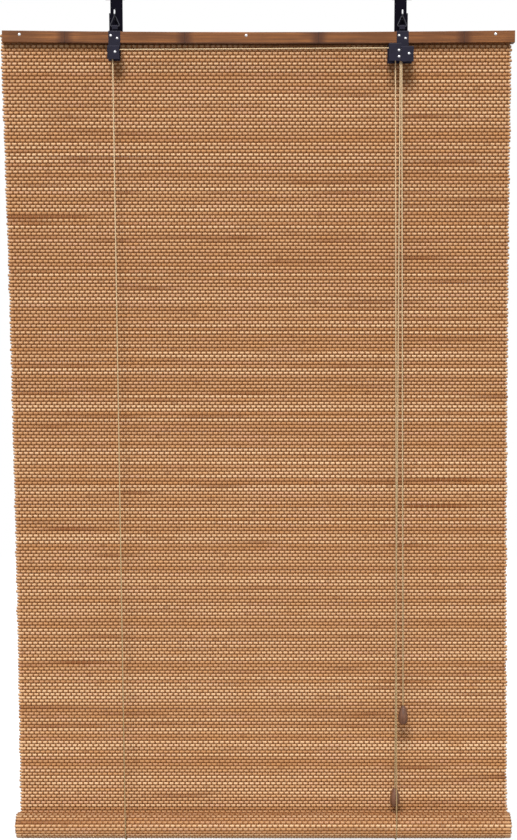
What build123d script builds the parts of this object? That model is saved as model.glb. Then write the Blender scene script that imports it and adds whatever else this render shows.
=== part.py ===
# Bamboo roll-up blind on two wall hangers, in millimetres, +Z up, its front towards -Y.
# The origin lies on the wall's face, midway between the two screw holes.
from build123d import *
import math
import os

os.makedirs("parts", exist_ok=True)

# Overall sizes
blind_width = 1000.0
bracket_spacing = 562.0
standoff = 22.0           # wall face to the front of the mat, at the head
head_top_z = -85.0        # top of the head battens at the brackets
roll_drop = 1596.0        # head top down to the roll's axis
roll_setback = 11.0       # roll axis in front of the mat's plane at the head
hang_skew = 14.0          # sideways drift of the mat between head and roll

# Woven mat
mat_thickness = 2.6
row_pitch = 6.74
ridge_depth = 0.6
rows_per_gap = 4
gap_height = 1.7
gap_depth = 9.0
mat_top_inset = 3.0

# Roll of mat
roll_radius = 26.0
roll_extra_width = 4.0
turn_gap = 0.35
turn_count = 5
roll_groove = 0.5
roll_step = 0.2           # share of each turn over which it steps in, under the arriving mat

# Head battens
batten_height = 23.0
batten_bow = 3.2
front_batten_thickness = 12.0
rear_batten_thickness = 6.0
batten_edge_radius = 1.5
mat_clamp_gap = 0.4
knuckle_width = 7.0
knuckle_rise = 0.5
knuckle_places = (-0.378, -0.144, 0.117, 0.401)   # shares of the blind's width from its middle

# Sheet steel of the brackets
sheet = 1.2
tab_width = 23.3
neck_width = 11.0
bend_radius = 1.6
hem_length = 6.0
left_cover_front = 34.0   # outer face, in front of the mat's plane
left_cover_top = 30.2     # below the head's top
left_plate_length = 56.5
right_cover_front = 45.5
right_plate_length = 61.6
pulley_cover_top = 27.8
pulley_cover_width = 23.2
pulley_cover_edge = -29.8  # left edge from the bracket's centre line
lock_cover_top = 33.5
lock_cover_length = 63.1
lock_cover_width = 24.7
cover_seam = 0.3

# Wall hangers
hanger_sheet = 2.0
hanger_bend_radius = 3.0
flange_width = 38.0
flange_above_hole = 15.0
arm_drop = 15.0
wide_strap_length = 5.5
strap_width = 24.0
strap_inner_edge = 14.5   # from the bracket's centre line, towards the middle
strap_lug_width = 2.5
strap_lug_drop = 31.0
strap_clearance = 2.6     # strap's lower end above the head battens
strap_behind_ring = 8.5
screw_hole_radius = 2.4

# Rings and hooks
ring_plane = -1.0         # in front of the mat's plane
ring_wire_radius = 1.1
ring_base_drop = -12.4    # base wire's axis, below the head's top
ring_height = 18.4        # base axis to apex axis
ring_half_base = 8.6
ring_corner_radius = 2.0
ring_apex_radius = 2.6
hook_wire_radius = 1.5
hook_tip_rise = 14.0
hook_bend_radius = 3.0
hook_reach = 5.2          # tip's axis in front of the ring's plane
hook_collar = 1.2
hook_collar_rim = 1.0

# Pulleys, axles and pins
cord_radius = 1.3
pulley_pitch_radius = 5.3
pulley_flange_radius = 7.2
pulley_width = 6.6
pulley_hub_radius = 3.0
axle_radius = 1.5
rivet_head_radius = 2.6
rivet_head_height = 1.5
rivet_tail = 0.8
pin_fit = 0.05
pulley_rim = 0.8
pulley_floor = 2.0
left_axle = (3.3, 42.7)       # from the bracket's centre line, below the head's top
right_axle = (-10.3, 41.6)
guide_pin = (-10.2, 53.5)
cam_pin = (9.1, 47.8)
left_groove = 27.0
rear_groove = 30.0
front_groove = 38.0
cam_hub_radius = 5.5
cam_reach = 11.8
cam_width = 17.0
cam_sweep = 46.0
cam_teeth = 6
cam_tooth_depth = 0.9

# Cords and knobs
cord_exit_front = 39.0
cord_exit_drop = 68.0
cord_joint_gap = 0.06
cord_turn_drop = 12.0     # pulley axle down to where the straight lift cord begins
staple_drop = 12.0        # below the head's top
staple_half = 3.4
staple_wire = 0.8
staple_depth = 4.0
staple_bend_radius = 1.6
stopper_rise = 5.0        # knot above its staple
left_cord_low_x = -271.0
right_cord_low_x = 281.0
cord_pair_gap = 0.4
lock_bend_radius = 6.0
knob_length = 36.5
knob_radius = 9.8
knob_bore_radius = 1.7
knob_pocket_radius = 3.9
knob_pocket_depth = 11.0
knot_rise = 8.0           # knot's centre above the knob's lower end
knot_radius = 2.6
knob_one = (291.6, 40.0, -1421.0)     # x, in front of the mat's plane, top
knob_two = (278.0, 26.3, -1596.5)

# Nails
nail_radius = 0.8
nail_head_radius = 2.9
nail_head_height = 1.5
batten_nail_bite = 3.5    # into the rear batten
tab_nail_length = 8.0
nail_hole_spare = 0.6
tab_nails = ((-7.0, 8.0), (5.5, 13.2))
batten_nail_places = ((-0.466, 7.5), (-0.024, 6.5), (0.462, 6.5))   # share of the width, drop

# Clearances
running_fit = 0.08
seat_gap = 0.3


def front(distance):
    """Y of a plane that lies this far in front of the mat's plane at the head."""
    return -(standoff + distance)


def below(drop):
    """Z of a level that lies this far below the head's top."""
    return head_top_z - drop


def block(x0, x1, y0, y1, z0, z1):
    """Box between six planes."""
    size = Box(abs(x1 - x0), abs(y1 - y0), abs(z1 - z0))
    return Pos((x0 + x1) / 2, (y0 + y1) / 2, (z0 + z1) / 2) * size


def bar_y(x, z, y0, y1, radius):
    """Round bar along Y."""
    length = abs(y1 - y0)
    return Pos(x, (y0 + y1) / 2, z) * Rot(90, 0, 0) * Cylinder(radius, length)


def bar_x(x0, x1, y, z, radius):
    """Round bar along X."""
    return Pos((x0 + x1) / 2, y, z) * Rot(0, 90, 0) * Cylinder(radius, abs(x1 - x0))


def side_plane(x):
    """Plane whose own axes are the part's Y and Z, facing +X."""
    return Plane(origin=(x, 0, 0), x_dir=(0, 1, 0), z_dir=(1, 0, 0))


def front_plane(y):
    """Plane whose own axes are the part's X and Z, facing -Y."""
    return Plane(origin=(0, y, 0), x_dir=(1, 0, 0), z_dir=(0, -1, 0))


def folded_strip(path_points, thickness, x0, x1, radius=bend_radius):
    """Sheet folded along a side view (y, z) path of its middle line."""
    line = FilletPolyline(*path_points, radius=radius)
    section = trace(line, thickness)
    return extrude(side_plane(x0) * section, amount=x1 - x0)


def round_wire(path, radius):
    """Round bar swept along a path."""
    start = Plane(origin=path @ 0, z_dir=path % 0)
    return sweep(start * Circle(radius), path=path)


def straight_cord(start, end):
    return round_wire(Line(start, end), cord_radius)


def dome_head(x, y, z, radius, height):
    """Round rivet or nail head standing on a front face at y."""
    ball_radius = (radius ** 2 + height ** 2) / (2 * height)
    ball = Pos(x, y + ball_radius - height, z) * Sphere(ball_radius)
    return ball & block(x - radius, x + radius, y - height, y, z - radius, z + radius)


def pin(x, z, y_front, y_back, radius):
    """Riveted pin with a domed front head and a flat rear head."""
    shank = bar_y(x, z, y_front, y_back, radius)
    rear_head = bar_y(x, z, y_back, y_back + rivet_tail, radius + rivet_tail)
    return shank + dome_head(x, y_front, z, rivet_head_radius, rivet_head_height) + rear_head


def save(shape, name):
    shape.label = name
    export_step(shape, f"parts/{name}.step")


# Places that follow from the sizes
left_centre = -bracket_spacing / 2
right_centre = bracket_spacing / 2
batten_front_y = front(front_batten_thickness)
clamp_back_y = front(-mat_thickness - mat_clamp_gap)
rear_face_y = clamp_back_y + rear_batten_thickness
tab_back_y = batten_front_y
tab_mid_y = tab_back_y - sheet / 2
tab_front_y = tab_back_y - sheet
ring_y = front(ring_plane)
ring_base_z = below(ring_base_drop)
ring_apex_z = ring_base_z + ring_height
curl_radius = ring_wire_radius + seat_gap + sheet / 2
strap_front_y = ring_y + strap_behind_ring
hook_z = ring_apex_z - ring_wire_radius - seat_gap - hook_wire_radius
mat_top_z = head_top_z - mat_top_inset
lean_z = head_top_z - batten_height
roll_y = front(roll_setback)
roll_z = below(roll_drop)
mat_length = mat_top_z - roll_z
mat_run = lean_z - roll_z
mat_back_reach = roll_radius + seat_gap - roll_setback
mat_lean = math.degrees(math.atan(mat_back_reach / mat_run))
rod_radius = roll_radius - turn_count * (mat_thickness + turn_gap) - mat_thickness - seat_gap
left_pulley_x = left_centre + left_axle[0]
left_pulley_z = below(left_axle[1])
left_groove_y = front(left_groove)
right_pulley_x = right_centre + right_axle[0]
right_pulley_z = below(right_axle[1])
rear_groove_y = front(rear_groove)
front_groove_y = front(front_groove)
hub_back_y = tab_front_y - seat_gap
hub_split_y = (rear_groove_y + front_groove_y) / 2
left_hub_front_y = front(left_cover_front) + sheet + seat_gap
right_hub_front_y = front(right_cover_front) + sheet + seat_gap
left_lift_x = left_pulley_x - pulley_pitch_radius
right_lift_x = right_pulley_x - pulley_pitch_radius
left_turn_z = left_pulley_z - cord_turn_drop
right_turn_z = right_pulley_z - cord_turn_drop
cord_loop_radius = roll_radius + seat_gap + cord_radius
front_loop_y = roll_y - cord_loop_radius
back_loop_y = front(-mat_back_reach - mat_thickness) + seat_gap + cord_radius
back_cord_y = rear_face_y + seat_gap + cord_radius
staple_z = below(staple_drop)
exit_y = front(cord_exit_front)
exit_z = below(cord_exit_drop)
guide_edge = right_centre + guide_pin[0] + axle_radius
pull_two_x = guide_edge + seat_gap + cord_radius
pull_one_x = pull_two_x + 2 * cord_radius + cord_pair_gap


# Wall hangers
def hanger(side):
    centre = side * bracket_spacing / 2
    strap_mid_y = strap_front_y + hanger_sheet / 2
    wall_mid_y = -hanger_sheet / 2
    arm_z = -arm_drop
    strap_end_z = head_top_z + strap_clearance
    path = [
        (wall_mid_y, flange_above_hole),
        (wall_mid_y, arm_z),
        (strap_mid_y, arm_z),
        (strap_mid_y, strap_end_z),
    ]
    x0 = centre - flange_width / 2
    strip = folded_strip(path, hanger_sheet, x0, x0 + flange_width, hanger_bend_radius)
    inner = centre - side * strap_inner_edge
    outer = inner + side * strap_width
    lug = outer + side * strap_lug_width
    wide_z = arm_z - wide_strap_length
    lug_z = arm_z - strap_lug_drop
    near_y = strap_front_y - 5
    blank = block(x0, x0 + flange_width, near_y, 1, wide_z, flange_above_hole)
    blank += block(inner, outer, near_y, 1, strap_end_z, wide_z)
    blank += block(inner, lug, near_y, 1, strap_end_z, lug_z)
    plate = strip & blank
    plate -= bar_y(centre, 0, -5.0, 5.0, screw_hole_radius)
    hook_hole_radius = hook_wire_radius + running_fit
    plate -= bar_y(centre, hook_z, strap_front_y - 1, strap_front_y + 4, hook_hole_radius)
    return plate


def hook(side):
    centre = side * bracket_spacing / 2
    back_y = strap_front_y + hanger_sheet
    collar_radius = hook_wire_radius + hook_collar_rim
    tip_y = ring_y - hook_reach
    tip_z = hook_z + hook_tip_rise
    path = FilletPolyline(
        (centre, back_y, hook_z),
        (centre, tip_y, hook_z),
        (centre, tip_y, tip_z),
        radius=hook_bend_radius,
    )
    wire = round_wire(path, hook_wire_radius)
    wire += Pos(centre, tip_y, tip_z) * Sphere(hook_wire_radius)
    wire += bar_y(centre, hook_z, strap_front_y - hook_collar, strap_front_y, collar_radius)
    wire += bar_y(centre, hook_z, back_y, back_y + hook_collar, collar_radius)
    return wire


def ring(side):
    """Triangle of wire, its base in the bracket's curl and its apex on the hook."""
    centre = side * bracket_spacing / 2
    corner = ring_half_base + ring_wire_radius
    bend_z = ring_height - ring_apex_radius
    reach = math.hypot(corner, bend_z)
    flank = math.atan2(corner, bend_z) - math.asin(ring_apex_radius / reach)
    peak_z = ring_base_z + corner / math.tan(flank)
    path = FilletPolyline(
        (centre, ring_y, ring_base_z),
        (centre + corner, ring_y, ring_base_z),
        (centre, ring_y, peak_z),
        (centre - corner, ring_y, ring_base_z),
        (centre - 0.01, ring_y, ring_base_z),
        radius=[ring_corner_radius, ring_apex_radius, ring_corner_radius],
    )
    return round_wire(path, ring_wire_radius)


# Sheet brackets
def bracket_back(side, plate_length, plate_x0, plate_x1, plate_top):
    """Curl round the ring, neck, shelf over the batten, tab and back plate, in one folded sheet."""
    centre = side * bracket_spacing / 2
    neck_y = ring_y + curl_radius
    hem_y = ring_y - curl_radius
    shelf_z = head_top_z + seat_gap + sheet / 2
    curl = [
        Line((hem_y, ring_base_z - hem_length), (hem_y, ring_base_z)),
        ThreePointArc((hem_y, ring_base_z), (ring_y, ring_base_z + curl_radius), (neck_y, ring_base_z)),
        Line((neck_y, ring_base_z), (neck_y, shelf_z)),
    ]
    x0 = centre - neck_width / 2
    neck = extrude(side_plane(x0) * trace(Curve() + curl, sheet), amount=neck_width)
    tab_path = [
        (neck_y + sheet / 2, shelf_z),
        (tab_mid_y, shelf_z),
        (tab_mid_y, below(plate_length)),
    ]
    wide_x0 = min(centre - tab_width / 2, plate_x0)
    wide_x1 = max(centre + tab_width / 2, plate_x1)
    tab = folded_strip(tab_path, sheet, wide_x0, wide_x1)
    plate_end = below(plate_length) - 1
    far_y = tab_front_y - 5
    blank = block(centre - tab_width / 2, centre + tab_width / 2, far_y, 0, plate_top, head_top_z + 5)
    blank += block(plate_x0, plate_x1, far_y, 0, plate_end, plate_top)
    back = neck + (tab & blank)
    return back - tab_nail_holes(centre, tab_front_y - 1, tab_back_y + 1)


def tab_nail_holes(centre, y0, y1):
    hole_radius = nail_radius + running_fit
    return [bar_y(centre + x, below(drop), y0, y1, hole_radius) for x, drop in tab_nails]


def cover(x0, x1, top_drop, bottom_drop, front_distance, rear_y):
    """Shelf and front plate of a cord housing, open at its sides and below."""
    shelf_z = below(top_drop) - sheet / 2
    front_y = front(front_distance) + sheet / 2
    path = [(rear_y, shelf_z), (front_y, shelf_z), (front_y, below(bottom_drop))]
    return folded_strip(path, sheet, x0, x1)


def pin_hole(centre, place, y0, y1):
    return bar_y(centre + place[0], below(place[1]), y0, y1, axle_radius + pin_fit)


def bracket_left():
    centre = -bracket_spacing / 2
    x0 = centre - tab_width / 2
    x1 = centre + tab_width / 2
    body = bracket_back(-1, left_plate_length, x0, x1, below(left_cover_top))
    body += cover(x0, x1, left_cover_top, left_plate_length, left_cover_front, tab_mid_y)
    body -= pin_hole(centre, left_axle, front(left_cover_front) - 1, tab_back_y + 1)
    return body


def bracket_right():
    centre = bracket_spacing / 2
    x0 = centre + pulley_cover_edge
    x1 = x0 + pulley_cover_width + lock_cover_width
    body = bracket_back(1, right_plate_length, x0, x1, below(pulley_cover_top))
    seam = x0 + pulley_cover_width
    body += cover(x0, seam, pulley_cover_top, right_plate_length, right_cover_front, tab_mid_y)
    for place in (right_axle, guide_pin, cam_pin):
        body -= pin_hole(centre, place, front(right_cover_front) - 1, tab_back_y + 1)
    return body


def lock_cover():
    centre = bracket_spacing / 2
    x0 = centre + pulley_cover_edge + pulley_cover_width + cover_seam
    x1 = centre + pulley_cover_edge + pulley_cover_width + lock_cover_width
    rear_y = tab_front_y - sheet / 2
    shelf_z = below(lock_cover_top) - sheet / 2
    front_y = front(right_cover_front) + sheet / 2
    path = [
        (rear_y, below(right_plate_length) + 1.0),
        (rear_y, shelf_z),
        (front_y, shelf_z),
        (front_y, below(lock_cover_length)),
    ]
    body = folded_strip(path, sheet, x0, x1)
    body -= pin_hole(centre, cam_pin, front(right_cover_front) - 1, tab_back_y + 1)
    return body


# Pulleys, cam and pins
def pulley(x, z, groove, hub_front, hub_back):
    """Grooved wheel with a long hub, turned about Y."""
    groove_radius = pulley_pitch_radius - cord_radius - seat_gap
    half = pulley_width / 2
    bore = axle_radius + running_fit
    middle = front(groove)
    profile = Polyline(
        (bore, hub_front - middle),
        (pulley_hub_radius, hub_front - middle),
        (pulley_hub_radius, -half),
        (pulley_flange_radius, -half),
        (pulley_flange_radius, -half + pulley_rim),
        (groove_radius, -pulley_floor / 2),
        (groove_radius, pulley_floor / 2),
        (pulley_flange_radius, half - pulley_rim),
        (pulley_flange_radius, half),
        (pulley_hub_radius, half),
        (pulley_hub_radius, hub_back - middle),
        (bore, hub_back - middle),
        close=True,
    )
    wheel = revolve(make_face(profile), axis=Axis.Y)
    return Pos(x, middle, z) * wheel


def lock_cam():
    """Eccentric with a toothed nose that grips the cords against the guide pin."""
    half_sweep = cam_sweep / 2
    points = [(0.0, 0.0)]
    step = cam_sweep / cam_teeth
    for tooth in range(cam_teeth):
        for share, reach in ((0.0, cam_reach - cam_tooth_depth), (0.5, cam_reach)):
            turn = math.radians(180 - half_sweep + (tooth + share) * step)
            points.append((reach * math.cos(turn), reach * math.sin(turn)))
    profile = make_face(Polyline(*points, close=True)) + Circle(cam_hub_radius)
    profile -= Circle(axle_radius + running_fit)
    x = bracket_spacing / 2 + cam_pin[0]
    back_y = tab_front_y - sheet - seat_gap
    middle = (back_y + front(right_cover_front) + sheet) / 2
    body = extrude(front_plane(0.0) * profile, amount=cam_width / 2, both=True)
    return Pos(x, middle, below(cam_pin[1])) * body


# Battens
def bowed_outline(height, width=blind_width):
    """Front view of a strip that sags a little in the middle."""
    share = (bracket_spacing / blind_width) ** 2
    end_z = head_top_z + batten_bow * (1 - share)
    middle_z = end_z - batten_bow
    half = width / 2
    return make_face([
        ThreePointArc((-half, end_z), (0, middle_z), (half, end_z)),
        Line((half, end_z), (half, end_z - height)),
        ThreePointArc((half, end_z - height), (0, middle_z - height), (-half, end_z - height)),
        Line((-half, end_z - height), (-half, end_z)),
    ])


def bow_at(x):
    """How far the battens' top lies above the head's top at x."""
    share = (bracket_spacing / blind_width) ** 2
    return batten_bow * ((2 * x / blind_width) ** 2 - share)


def batten_nail_spots():
    """X and Z of each nail through the battens."""
    places = [(share * blind_width, drop) for share, drop in batten_nail_places]
    return [(x, below(drop) + bow_at(x)) for x, drop in places]


def nail_holes(y0, y1):
    hole_radius = nail_radius + running_fit
    return [bar_y(x, z, y0, y1, hole_radius) for x, z in batten_nail_spots()]


def front_batten():
    back_y = front(mat_clamp_gap)
    thickness = front_batten_thickness - mat_clamp_gap
    body = extrude(front_plane(back_y) * bowed_outline(batten_height), amount=thickness)
    long_edges = body.edges().filter_by(GeomType.CIRCLE).group_by(Axis.Y)[0]
    body = fillet(long_edges, batten_edge_radius)
    for share in knuckle_places:
        x = share * blind_width
        level = head_top_z + bow_at(x) - batten_height / 2
        reach = batten_height / 2 - batten_edge_radius
        body += Pos(x, batten_front_y, level) * Rot(90, 0, 0) * extrude(
            Ellipse(knuckle_width / 2, reach), amount=knuckle_rise, both=True)
    body -= nail_holes(back_y + 1, batten_front_y - 1)
    hole_end_y = batten_front_y + tab_nail_length + nail_hole_spare
    for centre in (left_centre, right_centre):
        body -= tab_nail_holes(centre, batten_front_y - 1, hole_end_y)
    return body


def rear_batten():
    outline = front_plane(rear_face_y) * bowed_outline(batten_height)
    body = extrude(outline, amount=rear_batten_thickness)
    body -= nail_holes(clamp_back_y - 1, clamp_back_y + batten_nail_bite + nail_hole_spare)
    hole_end_y = rear_face_y - staple_depth - nail_hole_spare
    for x in (left_lift_x, right_lift_x):
        for leg in (-staple_half, staple_half):
            body -= bar_y(x + leg, staple_z, hole_end_y, rear_face_y + 1, staple_wire + pin_fit)
    return body


def cord_staples():
    """Wire staples that hold the lift cords' ends on the rear batten."""
    pair = []
    crown_y = back_cord_y + cord_radius + 0.1 + staple_wire
    leg_end_y = rear_face_y - staple_depth
    for x in (left_lift_x, right_lift_x):
        path = FilletPolyline(
            (x - staple_half, leg_end_y, staple_z),
            (x - staple_half, crown_y, staple_z),
            (x + staple_half, crown_y, staple_z),
            (x + staple_half, leg_end_y, staple_z),
            radius=staple_bend_radius,
        )
        pair.append(round_wire(path, staple_wire))
    return Compound(children=pair)


def batten_nails():
    nails = []
    end_y = clamp_back_y + batten_nail_bite
    for x, z in batten_nail_spots():
        shank = bar_y(x, z, batten_front_y, end_y, nail_radius)
        nails.append(shank + dome_head(x, batten_front_y, z, nail_head_radius, nail_head_height))
    return Compound(children=nails)


def bracket_nails():
    nails = []
    for side in (-1, 1):
        for nail_x, nail_drop in tab_nails:
            x = side * bracket_spacing / 2 + nail_x
            level = below(nail_drop)
            shank = bar_y(x, level, tab_front_y, tab_back_y + tab_nail_length, nail_radius)
            nails.append(shank + dome_head(x, tab_front_y, level, rivet_head_radius, rivet_head_height))
    return Compound(children=nails)


# Woven mat
def mat():
    """Slats as ridges on both faces, hung a little askew, with their loose ends as gaps at the sides."""
    row_count = math.floor(mat_length / row_pitch)
    flat = row_pitch * 0.5
    slope = (row_pitch - flat) / 2
    front_line = [(0.0 + ridge_depth, 0.0)]
    back_line = [(mat_thickness - ridge_depth, 0.0)]
    for row in range(row_count):
        top = -row * row_pitch
        front_line.append((0.0, top - slope))
        front_line.append((0.0, top - slope - flat))
        front_line.append((ridge_depth, top - row_pitch))
        back_line.append((mat_thickness, top - row_pitch / 2))
        back_line.append((mat_thickness - ridge_depth, top - row_pitch))
    front_line.append((ridge_depth, -mat_length))
    back_line.append((mat_thickness - ridge_depth, -mat_length))
    outline = Polyline(*front_line, *reversed(back_line), close=True)
    half = blind_width / 2 + hang_skew + gap_depth
    sheet_body = extrude(side_plane(-half) * make_face(outline), amount=2 * half)
    sheet_body = Pos(0, 0, mat_top_z) * sheet_body
    cutters = [side_cutter(-1), side_cutter(1)]
    for side in (-1, 1):
        for index in range(row_count // rows_per_gap):
            cutters.append(edge_gap(side, index))
    body = sheet_body - cutters
    swing = Pos(0, front(0), lean_z) * Rot(mat_lean, 0, 0) * Pos(0, 0, -lean_z)
    body = swing * body
    return body - nail_holes(front(1), front(-4))


def drift_at(z):
    """Sideways drift of the mat at a level."""
    return hang_skew * (lean_z - z) / mat_run


def side_cutter(side):
    """Waste beyond one side edge of the mat, along the drift."""
    near_top = side * blind_width / 2 + drift_at(head_top_z)
    near_low = side * blind_width / 2 + drift_at(roll_z - 10)
    far = side * (blind_width / 2 + 60)
    outline = Polyline(
        (near_top, head_top_z),
        (far, head_top_z),
        (far, roll_z - 10),
        (near_low, roll_z - 10),
        close=True,
    )
    return extrude(front_plane(10.0) * make_face(outline), amount=30.0)


def edge_gap(side, index):
    """Open slit between two slats' loose ends."""
    row = (index + 0.5) * rows_per_gap
    row = math.floor(row + 1.5 * math.sin(index * 2.4 + side))
    level = mat_top_z - row * row_pitch
    depth = gap_depth * (0.55 + 0.4 * math.sin(index * 1.7 + 2 * side))
    edge = side * blind_width / 2 + drift_at(level)
    low_z = level - gap_height / 2
    return block(edge - side * depth, edge + side * 20, -3, mat_thickness + 3, low_z, low_z + gap_height)


# Roll of mat on its rod
def winding_radius(turn):
    """Middle of the wound mat: round, with one step in each turn."""
    whole, part = divmod(turn / (2 * math.pi), 1)
    step_in = max(0.0, (part - 1 + roll_step) / roll_step)
    return roll_radius - mat_thickness / 2 - (mat_thickness + turn_gap) * (whole + step_in)


def roll():
    """Wound mat that starts at the back, where the mat comes down, and winds in under the front."""
    half_thickness = mat_thickness / 2
    turn = 0.0
    outer = []
    inner = []
    end_turn = 2 * math.pi * turn_count
    while turn < end_turn:
        step = row_pitch / winding_radius(turn)
        for share, lift in ((0.0, -roll_groove), (0.25, 0.0), (0.75, 0.0)):
            angle = turn + share * step
            level = winding_radius(angle) + half_thickness + lift
            under = winding_radius(angle) - half_thickness
            outer.append((level * math.cos(angle), -level * math.sin(angle)))
            inner.append((under * math.cos(angle), -under * math.sin(angle)))
        turn += step
    outline = Polyline(*outer, *reversed(inner), close=True)
    width = blind_width + roll_extra_width
    return placed_roll(extrude(side_plane(-width / 2) * make_face(outline), amount=width))


def placed_roll(shape):
    return Pos(hang_skew, roll_y, roll_z) * shape


def bottom_rod():
    half = blind_width / 2
    return placed_roll(bar_x(-half, half, 0, 0, rod_radius))


# Cords
def lift_loop(x):
    """Cord under the roll, from its front round to the back of the mat."""
    low_z = roll_z - cord_loop_radius
    back_arc_y = back_loop_y - cord_loop_radius
    bend = cord_loop_radius * math.sqrt(0.5)
    path = Curve() + [
        ThreePointArc(
            (x, front_loop_y, roll_z), (x, roll_y - bend, roll_z - bend), (x, roll_y, low_z)),
        Line((x, roll_y, low_z), (x, back_arc_y, low_z)),
        ThreePointArc(
            (x, back_arc_y, low_z), (x, back_arc_y + bend, roll_z - bend), (x, back_loop_y, roll_z)),
    ]
    return round_wire(Wire(path.edges()), cord_radius)


def lift_back(top_x, low_x):
    """Rear run behind the mat, with a stopper knot above its staple."""
    knot_z = staple_z + stopper_rise
    low = (low_x, back_loop_y, roll_z + cord_joint_gap)
    run = straight_cord((top_x, back_cord_y, knot_z), low)
    return run + Pos(top_x, back_cord_y + cord_radius, knot_z) * Sphere(2 * cord_radius)


def over_pulleys(start, end, low_start, exit_x):
    """Cord up to one pulley, over its top to the other, and down through the lock."""
    leave_z = right_pulley_z - pulley_flange_radius
    bend = pulley_pitch_radius - 0.05
    path = FilletPolyline(
        low_start,
        start,
        end,
        (end[0], end[1], leave_z),
        (exit_x, exit_y, exit_z + lock_bend_radius / 1.5),
        (exit_x, exit_y, exit_z),
        radius=[bend, bend, lock_bend_radius, lock_bend_radius],
    )
    return round_wire(path, cord_radius)


def cross_cord():
    """Left lift cord from its pulley along the head and down through the lock."""
    left_top = left_pulley_z + pulley_pitch_radius
    right_x = right_pulley_x + pulley_pitch_radius
    right_top = right_pulley_z + pulley_pitch_radius
    return over_pulleys(
        (left_lift_x, left_groove_y, left_top),
        (right_x, front_groove_y, right_top),
        (left_lift_x, left_groove_y, left_turn_z + cord_joint_gap),
        pull_one_x,
    )


def turn_cord():
    """Right lift cord over its pulley and down through the lock."""
    right_x = right_lift_x + 2 * pulley_pitch_radius
    top = right_pulley_z + pulley_pitch_radius
    return over_pulleys(
        (right_lift_x, rear_groove_y, top),
        (right_x, rear_groove_y, top),
        (right_lift_x, rear_groove_y, right_turn_z + cord_joint_gap),
        pull_two_x,
    )


# Turned knobs
def knob(place):
    """Bell shape with a bore for the cord and a wider pocket for its knot."""
    r = knob_radius
    length = knob_length
    neck = 0.42 * r
    profile = make_face([
        Line((0, 0), (neck, 0)),
        Spline((neck, 0), (0.62 * r, -0.16 * length), (r, -0.62 * length), (0.93 * r, -0.86 * length)),
        Line((0.93 * r, -0.86 * length), (0.72 * r, -length)),
        Line((0.72 * r, -length), (0, -length)),
        Line((0, -length), (0, 0)),
    ])
    body = revolve(Plane.XZ * profile, axis=Axis.Z)
    body -= Pos(0, 0, -length / 2) * Cylinder(knob_bore_radius, length + 2)
    body -= Pos(0, 0, -length) * Cylinder(knob_pocket_radius, 2 * knob_pocket_depth)
    return Pos(place[0], front(place[1]), place[2]) * body


def pull_cord(start_x, place):
    """Cord from the lock down into its knob, with the knot in the knob's pocket."""
    start = (start_x, exit_y, exit_z - cord_joint_gap)
    end = (place[0], front(place[1]), place[2] - 4.0)
    low = (end[0], end[1], place[2] - knob_length + knot_rise)
    run = straight_cord(start, end)
    run += straight_cord(end, low)
    run += Pos(*end) * Sphere(cord_radius)
    return run + Pos(*low) * Sphere(knot_radius)


for side, name in ((-1, "left"), (1, "right")):
    save(hanger(side), f"hanger_{name}")
    save(hook(side), f"hook_{name}")
    save(ring(side), f"ring_{name}")
save(bracket_left(), "bracket_left")
save(bracket_right(), "bracket_right")
save(lock_cover(), "lock_cover")
save(bracket_nails(), "bracket_nails")
save(front_batten(), "front_batten")
save(rear_batten(), "rear_batten")
save(batten_nails(), "batten_nails")
save(cord_staples(), "cord_staples")

save(
    pulley(left_pulley_x, left_pulley_z, left_groove, left_hub_front_y, hub_back_y),
    "pulley_left",
)
save(
    pulley(right_pulley_x, right_pulley_z, rear_groove, hub_split_y + seat_gap / 2, hub_back_y),
    "pulley_right_rear",
)
save(
    pulley(right_pulley_x, right_pulley_z, front_groove, right_hub_front_y, hub_split_y - seat_gap / 2),
    "pulley_right_front",
)
save(pin(left_pulley_x, left_pulley_z, front(left_cover_front), tab_back_y, axle_radius), "axle_left")
for place, name in ((right_axle, "axle_right"), (guide_pin, "guide_pin"), (cam_pin, "cam_pin")):
    shank_x = right_centre + place[0]
    save(pin(shank_x, below(place[1]), front(right_cover_front), tab_back_y, axle_radius), name)
save(lock_cam(), "lock_cam")
save(mat(), "mat")
save(roll(), "roll")
save(bottom_rod(), "bottom_rod")

for name, top_x, groove_y, top_z, low_x in (
    ("left", left_lift_x, left_groove_y, left_turn_z, left_cord_low_x),
    ("right", right_lift_x, rear_groove_y, right_turn_z, right_cord_low_x),
):
    low = (low_x, front_loop_y, roll_z + cord_joint_gap)
    save(lift_loop(low_x), f"lift_loop_{name}")
    save(lift_back(top_x, low_x), f"lift_back_{name}")
    save(straight_cord((top_x, groove_y, top_z), low), f"lift_front_{name}")
save(cross_cord(), "cross_cord")
save(turn_cord(), "turn_cord")
for name, start_x, place in (("one", pull_one_x, knob_one), ("two", pull_two_x, knob_two)):
    save(pull_cord(start_x, place), f"pull_cord_{name}")
    save(knob(place), f"knob_{name}")
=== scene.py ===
"""Looks of a woven bamboo roll-up blind: mat, roll, battens, fittings, cords and knobs."""
import math

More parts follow.
